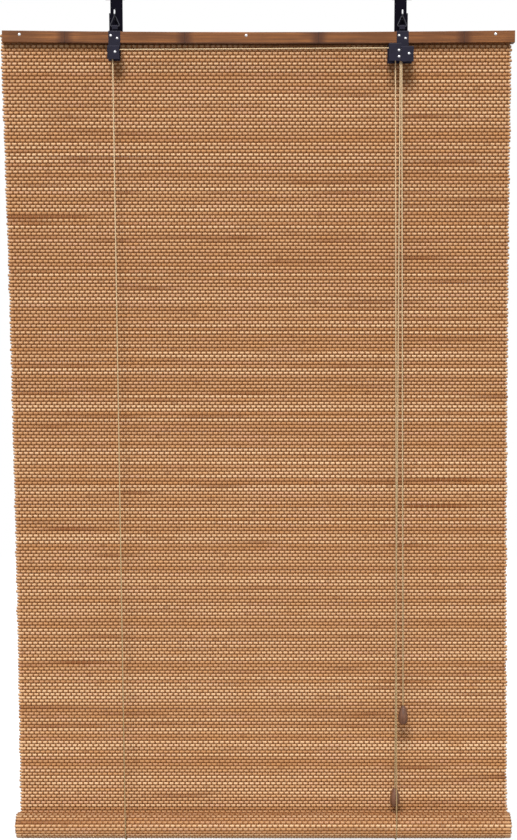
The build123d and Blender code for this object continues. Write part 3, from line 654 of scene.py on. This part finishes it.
def thread_tree():
    """Warp threads along a path, each in front of one slat and behind the next."""
    g = Tree("Warp Threads", [
        ("Rows", WHOLE, 10),
        ("Pitch", FLOAT, 0.00674),
        ("Pairs", WHOLE, 30),
        ("First", FLOAT, 0.0),
        ("Spacing", FLOAT, 0.0055),
        ("Thread Width", FLOAT, 0.0026),
        ("Thread Depth", FLOAT, 0.0007),
        ("Lift", FLOAT, 0.00125),
        ("Wander", FLOAT, 0.0011),
        ("Upward", FLOAT, 0.0),
    ] + DRIFT_INPUTS)
    path = g.node("GeometryNodeResampleCurve", {
        "Curve": g.trimmed(g.maths("MULTIPLY", g.given("Pitch"), 0.25)),
        "Count": g.maths("MULTIPLY", g.given("Rows"), 2)})
    number = g.number()
    row = g.maths("FLOOR", g.maths("DIVIDE", g.maths("ADD", number, 0.1), 2.0))
    # Lower point of each crossing, where the material paints shade on the thread.
    lower = g.maths("MODULO", number, 2.0)
    fall = g.maths("ABSOLUTE", g.maths("SUBTRACT", lower, g.given("Upward")))
    along = g.node("GeometryNodeInputTangent").outputs[0]
    outward = g.vectors("CROSS_PRODUCT", along, (1.0, 0.0, 0.0))
    halves = []
    for parity in (0, 1):
        odd = g.maths("MODULO", g.maths("ADD", row, parity), 2.0)
        side = g.maths("MULTIPLY", g.maths("MULTIPLY_ADD", odd, -2.0, 1.0), g.given("Lift"))
        waved = g.node("GeometryNodeSetPosition", {
            "Geometry": g.store(path.outputs[0], "thread_shade_fall", fall),
            "Offset": g.vectors("SCALE", outward, scale=side)})
        ring = g.node("GeometryNodeCurvePrimitiveCircle", {"Resolution": 3, "Radius": 1.0})
        flat = g.node("GeometryNodeTransform", {
            "Geometry": ring.outputs[0],
            "Scale": g.vector(
                g.maths("DIVIDE", g.given("Thread Width"), 1.732),
                g.maths("DIVIDE", g.given("Thread Depth"), 1.5), 1.0)})
        tube = g.node("GeometryNodeCurveToMesh", {
            "Curve": waved.outputs[0], "Profile Curve": flat.outputs[0], "Fill Caps": True})
        first = g.maths("MULTIPLY_ADD", g.given("Spacing"), float(parity), g.given("First"))
        line = g.node("GeometryNodeMeshLine", {
            "Count": g.given("Pairs"),
            "Start Location": g.vector(first, 0.0, 0.0),
            "Offset": g.vector(g.maths("MULTIPLY", g.given("Spacing"), 2.0), 0.0, 0.0),
        })
        halves.append(g.node("GeometryNodeInstanceOnPoints", {
            "Points": line.outputs[0], "Instance": tube.outputs[0]}).outputs[0])
    both = g.node("GeometryNodeJoinGeometry")
    for half in halves:
        g.tree.links.new(half, both.inputs[0])
    real = g.node("GeometryNodeRealizeInstances", {"Geometry": both.outputs[0]})
    spots = g.vectors("MULTIPLY", g.place(), (150.0, 60.0, 60.0))
    stray = g.uneven(spots, 1.0, g.given("Wander"), (1.0, 0.0, 0.0))
    bent = g.node("GeometryNodeSetPosition", {
        "Geometry": real.outputs[0], "Offset": drifted(g, stray)})
    g.finish(bent.outputs[0])
    return g


def cord_tree():
    """A twist of strands along a path."""
    g = Tree("Twisted Cord", [
        ("Radius", FLOAT, 0.0013),
        ("Lay", FLOAT, 0.0085),
        ("Strands", WHOLE, 3),
        ("Steps", WHOLE, 7),
        ("Material", FINISH, None),
    ])
    step = g.maths("DIVIDE", g.given("Lay"), g.given("Steps"))
    path = g.node("GeometryNodeResampleCurve", {"Curve": g.given(), "Length": step}, mode="LENGTH")
    number = g.number()
    turn = g.maths("MULTIPLY", g.maths("DIVIDE", number, g.given("Steps")), math.tau)
    tilted = g.node("GeometryNodeSetCurveTilt", {"Curve": path.outputs[0], "Tilt": turn})
    ring = g.node("GeometryNodeCurvePrimitiveCircle", {
        "Resolution": g.maths("MULTIPLY", g.given("Strands"), 4), "Radius": 1.0})
    corner = g.maths("DIVIDE", g.maths("MULTIPLY", number, math.tau), 4.0)
    crown = g.maths("MULTIPLY_ADD", g.maths("COSINE", corner), 0.5, 0.5)
    reach = g.maths("MULTIPLY", g.maths("MULTIPLY_ADD", crown, 0.3, 0.7), g.given("Radius"))
    lobed = g.node("GeometryNodeSetPosition", {
        "Geometry": g.store(ring.outputs[0], "strand_crown", crown),
        "Position": g.vectors("SCALE", g.place(), scale=reach)})
    rope = g.node("GeometryNodeCurveToMesh", {
        "Curve": tilted.outputs[0], "Profile Curve": lobed.outputs[0], "Fill Caps": True})
    smooth = g.node("GeometryNodeSetShadeSmooth", {"Geometry": rope.outputs[0]})
    g.finish(smooth.outputs[0])
    return g


trees = {}


def tree_named(key):
    makers = {"slats": slat_tree, "threads": thread_tree, "cord": cord_tree}
    if key not in trees:
        trees[key] = makers[key]()
    return trees[key]


def grown(name, path, key, values):
    """Runs a geometry tree on a path and returns its result as a plain mesh object."""
    g = tree_named(key)
    run = path.copy()
    run.data = path.data.copy()
    bpy.context.scene.collection.objects.link(run)
    modifier = run.modifiers.new(key, "NODES")
    modifier.node_group = g.tree
    for label, value in values.items():
        modifier[g.keys[label]] = value
    ready = run.evaluated_get(bpy.context.evaluated_depsgraph_get())
    mesh = bpy.data.meshes.new_from_object(ready, preserve_all_data_layers=True)
    made = bpy.data.objects.new(name, mesh)
    bpy.context.scene.collection.objects.link(made)
    bpy.data.objects.remove(run)
    return made


def straight_path(name, points):
    """Path of straight runs through points."""
    data = bpy.data.curves.new(name, "CURVE")
    data.dimensions = "3D"
    line = data.splines.new("POLY")
    line.points.add(len(points) - 1)
    for spot, point in zip(line.points, points):
        spot.co = (*point, 1.0)
    return bpy.data.objects.new(name, data)


def smooth_path(name, points):
    """Path of one smooth spline with these points as its control points."""
    data = bpy.data.curves.new(name, "CURVE")
    data.dimensions = "3D"
    data.resolution_u = 16
    line = data.splines.new("NURBS")
    line.points.add(len(points) - 1)
    for spot, point in zip(line.points, points):
        spot.co = (*point, 1.0)
    line.order_u = 3
    line.use_endpoint_u = True
    return bpy.data.objects.new(name, data)


# Mat and roll
def mat_path():
    """Side view of the hanging mat's middle, top to bottom."""
    middle = MAT_PLANE + MAT_THICKNESS / 2
    run = LEAN_TOP - ROLL_Z
    lean = MAT_BACK / run
    top_y = middle - lean * (MAT_TOP - LEAN_TOP)
    return straight_path("mat_path", [(0.0, top_y, MAT_TOP), (0.0, middle + MAT_BACK, ROLL_Z)])


def winding_path():
    """Side view of the wound mat's middle, from its arrival at the back round under the front."""
    points = []
    for step in range(int(ROLL_TURNS * TURN_STEPS) + 1):
        turn = step / TURN_STEPS
        whole, part = divmod(turn, 1.0)
        step_in = max(0.0, (part - 0.8) / 0.2)
        radius = ROLL_RADIUS - MAT_THICKNESS / 2 - TURN_RISE * (whole + step_in)
        angle = turn * math.tau
        points.append((0.0, ROLL_Y + radius * math.cos(angle), ROLL_Z - radius * math.sin(angle)))
    return straight_path("winding_path", points)


def first_part(path, reach):
    """The start of a path of straight runs, cut at a length."""
    spots = [p.co.to_3d() for p in path.data.splines[0].points]
    kept = [spots[0]]
    for a, b in zip(spots, spots[1:]):
        step = (b - a).length
        kept.append(a.lerp(b, min(1.0, reach / step)))
        reach -= step
        if reach <= 0.0:
            break
    return straight_path("outer_turn", kept)


def path_length(path):
    spots = [p.co.to_3d() for p in path.data.splines[0].points]
    return sum((b - a).length for a, b in zip(spots, spots[1:]))


class BLIND_OT_mat(bpy.types.Operator):
    """Hanging part of the woven mat: slats and warp threads"""
    bl_idname = "blind.mat"
    bl_label = "Woven Mat"

    def execute(self, context):
        look = context.scene.blind_weave
        wood = slat_bamboo(look)
        thread = warp_thread(look)
        path = mat_path()
        run = path_length(path)
        rows = round(run / look.slat_pitch)
        pitch = run / rows
        slope = look.drift / (LEAN_TOP - ROLL_Z)
        common = {
            "Rows": rows, "Pitch": pitch, "Drift Slope": slope, "Drift Top": LEAN_TOP,
            "Shift": MAT_SHIFT, "Waist": look.waist, "Flare": look.flare}
        slats = grown("mat_slats", path, "slats", {
            **common, "Width": MAT_WIDTH,
            "Height": look.slat_height, "Thickness": look.slat_thickness,
            "Jut": look.slat_jut, "Waver": look.waver, "Seed": look.seed, "Material": wood})
        pieces = [slats]
        share = THREAD_PAIRS // 3
        first = -(THREAD_PAIRS * 2 - 1) * look.thread_spacing / 2
        for index in range(3):
            pieces.append(grown(f"mat_threads_{index + 1}", path, "threads", {
                **common, "Pairs": share, "First": first + index * share * 2 * look.thread_spacing,
                "Spacing": look.thread_spacing, "Thread Width": look.thread_width, "Lift": look.thread_lift,
                "Material": thread}))
        for piece in pieces:
            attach(piece, "head")
            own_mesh(piece)
        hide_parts("mat")
        return {"FINISHED"}


class BLIND_OT_roll(bpy.types.Operator):
    """Wound part of the mat, with the threads of its outer turn, and its rod"""
    bl_idname = "blind.roll"
    bl_label = "Roll"

    def execute(self, context):
        look = context.scene.blind_weave
        wood = bpy.data.materials["slat_bamboo"]
        thread = bpy.data.materials["warp_thread"]
        whole = winding_path()
        run = path_length(whole)
        rows = int(run / look.slat_pitch)
        pitch = run / rows
        slats = grown("roll_slats", whole, "slats", {
            "Rows": rows, "Pitch": pitch, "Width": ROLL_WIDTH, "Height": look.slat_height,
            "Thickness": look.slat_thickness * 0.84, "Jut": look.slat_jut * 0.8,
            "Waver": look.waver * 0.5, "Seed": look.seed + 100, "Shaded Side": 1.0,
            "Shift": ROLL_X, "Material": wood})
        outer_rows = int(math.tau * ROLL_RADIUS / pitch) - 1
        outer = first_part(whole, outer_rows * pitch)
        threads = grown("roll_threads", outer, "threads", {
            "Rows": outer_rows, "Pitch": pitch, "Pairs": THREAD_PAIRS,
            "First": -(THREAD_PAIRS * 2 - 1) * look.thread_spacing / 2,
            "Spacing": look.thread_spacing, "Thread Width": look.thread_width,
            "Lift": ROLL_THREAD_LIFT, "Upward": 1.0, "Shift": ROLL_X, "Material": thread})
        for piece in (slats, threads):
            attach(piece, "rolled_mat")
        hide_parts("roll")
        fittings = context.scene.blind_fittings
        dress("bottom_rod", plain_wood("rod_wood", fittings.rod, colour(160, 118, 80), (4, 180, 180)))
        return {"FINISHED"}


class BLIND_OT_head(bpy.types.Operator):
    """Battens that clamp the mat, and what nails them"""
    bl_idname = "blind.head"
    bl_label = "Head Battens"

    def execute(self, context):
        look = context.scene.blind_fittings
        wood = batten_bamboo(look)
        dress("front_batten", wood)
        dress("rear_batten", wood)
        zinc = bright_metal("zinc", look.zinc, 0.22)
        for node in ("batten_nails", "bracket_nails", "cord_staples"):
            dress(node, zinc)
        return {"FINISHED"}


class BLIND_OT_fittings(bpy.types.Operator):
    """Brackets, cord lock, pulleys, hangers, hooks and rings"""
    bl_idname = "blind.fittings"
    bl_label = "Metal Fittings"

    def execute(self, context):
        look = context.scene.blind_fittings
        steel = coated_steel("black_steel", look.steel, 0.16)
        strap = coated_steel("hanger_steel", look.hanger, 0.03)
        zinc = bpy.data.materials["zinc"]
        hook = hook_metal(look.zinc)
        wire = bright_metal("dark_wire", look.wire, 0.38)
        wheel = nylon(look.nylon)
        finishes = {
            "bracket_left": steel, "bracket_right": steel, "lock_cover": steel,
            "hanger_left": strap, "hanger_right": strap,
            "hook_left": hook, "hook_right": hook, "ring_left": wire, "ring_right": wire,
            "axle_left": zinc, "axle_right": zinc, "guide_pin": zinc, "cam_pin": zinc, "lock_cam": zinc,
            "pulley_left": wheel, "pulley_right_rear": wheel, "pulley_right_front": wheel,
        }
        for node, finish in finishes.items():
            dress(node, finish)
        return {"FINISHED"}


# Control points of the cords, in metres
LEFT_FRONT = [(-0.2830, -0.0490, -0.1397), (-0.2771, -0.0548, -0.9100), (-0.2710, -0.0606, -1.6810)]
RIGHT_FRONT = [(0.2654, -0.0520, -0.1386), (0.2732, -0.0563, -0.9100), (0.2810, -0.0606, -1.6810)]
LEFT_BACK = [(-0.2830, -0.0114, -0.0920), (-0.2770, -0.0070, -0.8860), (-0.2710, -0.0025, -1.6810)]
RIGHT_BACK = [(0.2654, -0.0114, -0.0920), (0.2732, -0.0070, -0.8860), (0.2810, -0.0025, -1.6810)]
CROSSING = [
    (-0.2830, -0.0490, -0.1397), (-0.2830, -0.0490, -0.1330), (-0.2830, -0.0490, -0.1224),
    (-0.2724, -0.0492, -0.1224), (-0.2000, -0.0507, -0.1224), (0.0000, -0.0549, -0.1219),
    (0.2000, -0.0590, -0.1214), (0.2654, -0.0600, -0.1213), (0.2760, -0.0600, -0.1213),
    (0.2760, -0.0600, -0.1319), (0.2761, -0.0602, -0.1400), (0.2769, -0.0610, -0.1490),
    (0.2769, -0.0610, -0.1530),
]
TURNING = [
    (0.2654, -0.0520, -0.1386), (0.2654, -0.0520, -0.1320), (0.2654, -0.0520, -0.1213),
    (0.2760, -0.0520, -0.1213), (0.2760, -0.0520, -0.1320), (0.2750, -0.0560, -0.1400),
    (0.2739, -0.0610, -0.1490), (0.2739, -0.0610, -0.1530),
]


def loop_points(x):
    """Control points of a cord under the roll: the corners of the straight lines that touch its arc."""
    corner = LOOP_REACH * math.tan(math.pi / 8)
    low = ROLL_Z - LOOP_REACH
    return [
        (x, CORD_FRONT, ROLL_Z), (x, CORD_FRONT, ROLL_Z - corner),
        (x, ROLL_Y - corner, low), (x, CORD_BACK - LOOP_REACH + corner, low),
        (x, CORD_BACK, ROLL_Z - corner), (x, CORD_BACK, ROLL_Z),
    ]


def cord_values(look, finish):
    return {"Radius": look.radius, "Lay": look.lay_length, "Strands": look.strands, "Material": finish}


def cord_run(node, points, body, values):
    """One run of a lift cord, on the body that carries it."""
    piece = grown(f"{node}_twist", smooth_path(node, points), "cord", values)
    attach(piece, body)
    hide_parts(node)
    return piece


class BLIND_OT_lift_cords(bpy.types.Operator):
    """Lift cords: up behind the mat, under the roll, over the pulleys and through the lock"""
    bl_idname = "blind.lift_cords"
    bl_label = "Lift Cords"

    def execute(self, context):
        look = context.scene.blind_cords
        finish = twisted_fibre(look)
        values = cord_values(look, finish)
        fixed = {"cross_cord": CROSSING, "turn_cord": TURNING}
        hanging = {
            "lift_front_left": LEFT_FRONT, "lift_front_right": RIGHT_FRONT,
            "lift_back_left": LEFT_BACK, "lift_back_right": RIGHT_BACK,
        }
        loops = {"lift_loop_left": loop_points(-0.271), "lift_loop_right": loop_points(0.281)}
        for node, points in fixed.items():
            cord_run(node, points, "head", values)
        for node, points in loops.items():
            cord_run(node, points, "loops", values)
        for node, points in hanging.items():
            piece = cord_run(node, points, "head", values)
            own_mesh(piece)
        return {"FINISHED"}


PULLS = {
    "pull_cord_one": ("first_knob", "knob_one", [
        (0.2769, -0.0610, -0.1531), (0.2842, -0.0615, -0.7900),
        (0.2916, -0.0620, -1.4250), (0.2916, -0.0620, -1.4495)]),
    "pull_cord_two": ("second_knob", "knob_two", [
        (0.2739, -0.0610, -0.1531), (0.2760, -0.0545, -0.8700),
        (0.2780, -0.0483, -1.6005), (0.2780, -0.0483, -1.6250)]),
}


class BLIND_OT_pull_cords(bpy.types.Operator):
    """Pull cords below the lock, each into its knob"""
    bl_idname = "blind.pull_cords"
    bl_label = "Pull Cords"

    def execute(self, context):
        look = context.scene.blind_cords
        finish = bpy.data.materials["twisted_fibre"]
        values = cord_values(look, finish)
        fittings = context.scene.blind_fittings
        wood = plain_wood("knob_wood", fittings.knob, fittings.knob_deep, (90, 90, 9))
        for node, (body, knob, points) in PULLS.items():
            path = smooth_path(f"{node}_path", points)
            piece = grown(f"{node}_twist", path, "cord", values)
            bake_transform(piece)
            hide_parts(node)
            line = bpy.data.meshes.new_from_object(path)
            dress(knob, wood)
        return {"FINISHED"}


class BLIND_OT_stage(bpy.types.Operator):
    """Camera, lamps, white surroundings and a pale floor"""
    bl_idname = "blind.stage"
    bl_label = "Stage"

    def execute(self, context):
        look = context.scene.blind_stage
        scene = context.scene
        scene.view_settings.view_transform = "Standard"
        lens = bpy.data.cameras.new("camera")
        lens.sensor_width = 36.0
        lens.lens = look.lens
        lens.clip_end = 50.0
        camera = bpy.data.objects.new("camera", lens)
        camera.location = (0.0, -look.distance, look.height)
        camera.rotation_euler = (math.pi / 2 - look.pitch, 0.0, 0.0)
        scene.collection.objects.link(camera)
        scene.camera = camera
        world = bpy.data.worlds.new("surroundings")
        scene.world = world
        world.use_nodes = True
        tree = world.node_tree
        tree.nodes.clear()
        seen = tree.nodes.new("ShaderNodeLightPath")
        plain = tree.nodes.new("ShaderNodeBackground")
        plain.inputs["Strength"].default_value = look.sky
        white = tree.nodes.new("ShaderNodeBackground")
        white.inputs["Strength"].default_value = 1.0
        for node in (plain, white):
            node.inputs["Color"].default_value = (1.0, 1.0, 1.0, 1.0)
        either = sums(tree, "MAXIMUM", seen.outputs["Is Camera Ray"], seen.outputs["Is Glossy Ray"])
        either = sums(tree, "MAXIMUM", either, seen.outputs["Is Transmission Ray"])
        mix = tree.nodes.new("ShaderNodeMixShader")
        out = tree.nodes.new("ShaderNodeOutputWorld")
        for socket, value in zip(mix.inputs, (either, plain.outputs[0], white.outputs[0])):
            give(tree, socket, value)
        give(tree, out.inputs["Surface"], mix.outputs[0])
        for name, power, angle, turn in (
            ("key", look.key, 22.0, (math.radians(46), 0.0, math.radians(-10))),
            ("fill", look.fill, 60.0, (math.radians(80), 0.0, math.radians(18))),
        ):
            lamp = bpy.data.lights.new(name, "SUN")
            lamp.energy = power
            lamp.angle = math.radians(angle)
            holder = bpy.data.objects.new(name, lamp)
            holder.rotation_euler = turn
            scene.collection.objects.link(holder)
        mesh = bpy.data.meshes.new("floor")
        corners = [(x, y, FLOOR_LEVEL) for x, y in ((-6, -6), (6, -6), (6, 6), (-6, 6))]
        mesh.from_pydata(corners, [], [(0, 1, 2, 3)])
        floor = bpy.data.objects.new("floor", mesh)
        scene.collection.objects.link(floor)
        pale, tree, shader = material("pale_floor")
        shader.inputs["Base Color"].default_value = (0.45, 0.45, 0.45, 1.0)
        shader.inputs["Roughness"].default_value = 0.9
        shader.inputs["Emission Color"].default_value = (1.0, 1.0, 1.0, 1.0)
        seen = tree.nodes.new("ShaderNodeLightPath")
        glow = sums(tree, "MULTIPLY", seen.outputs["Is Camera Ray"], 0.65)
        give(tree, shader.inputs["Emission Strength"], glow)
        floor.data.materials.append(pale)
        return {"FINISHED"}


class BLIND_PT_panel(bpy.types.Panel):
    """Steps that dress the blind"""
    bl_label = "Bamboo Blind"
    bl_idname = "BLIND_PT_panel"
    bl_space_type = "VIEW_3D"
    bl_region_type = "UI"
    bl_category = "Blind"

    def draw(self, context):
        for step in STEPS:
            self.layout.operator(step.bl_idname)


STEPS = (
    BLIND_OT_mat, BLIND_OT_roll, BLIND_OT_head, BLIND_OT_fittings,
    BLIND_OT_lift_cords, BLIND_OT_pull_cords, BLIND_OT_stage,
)
GROUPS = (
    ("blind_weave", BlindWeave), ("blind_fittings", BlindFittings),
    ("blind_cords", BlindCords), ("blind_stage", BlindStage),
)


def register():
    for key, group in GROUPS:
        bpy.utils.register_class(group)
        setattr(bpy.types.Scene, key, bpy.props.PointerProperty(type=group))
    for step in STEPS:
        bpy.utils.register_class(step)
    bpy.utils.register_class(BLIND_PT_panel)


def unregister():
    bpy.utils.unregister_class(BLIND_PT_panel)
    for step in reversed(STEPS):
        bpy.utils.unregister_class(step)
    for key, group in reversed(GROUPS):
        delattr(bpy.types.Scene, key)
        bpy.utils.unregister_class(group)


def main():
    register()
    bpy.ops.blind.mat()
    bpy.ops.blind.roll()
    bpy.ops.blind.head()
    bpy.ops.blind.fittings()
    bpy.ops.blind.lift_cords()
    bpy.ops.blind.pull_cords()
    bpy.ops.blind.stage()


if __name__ == "__main__":
    main()
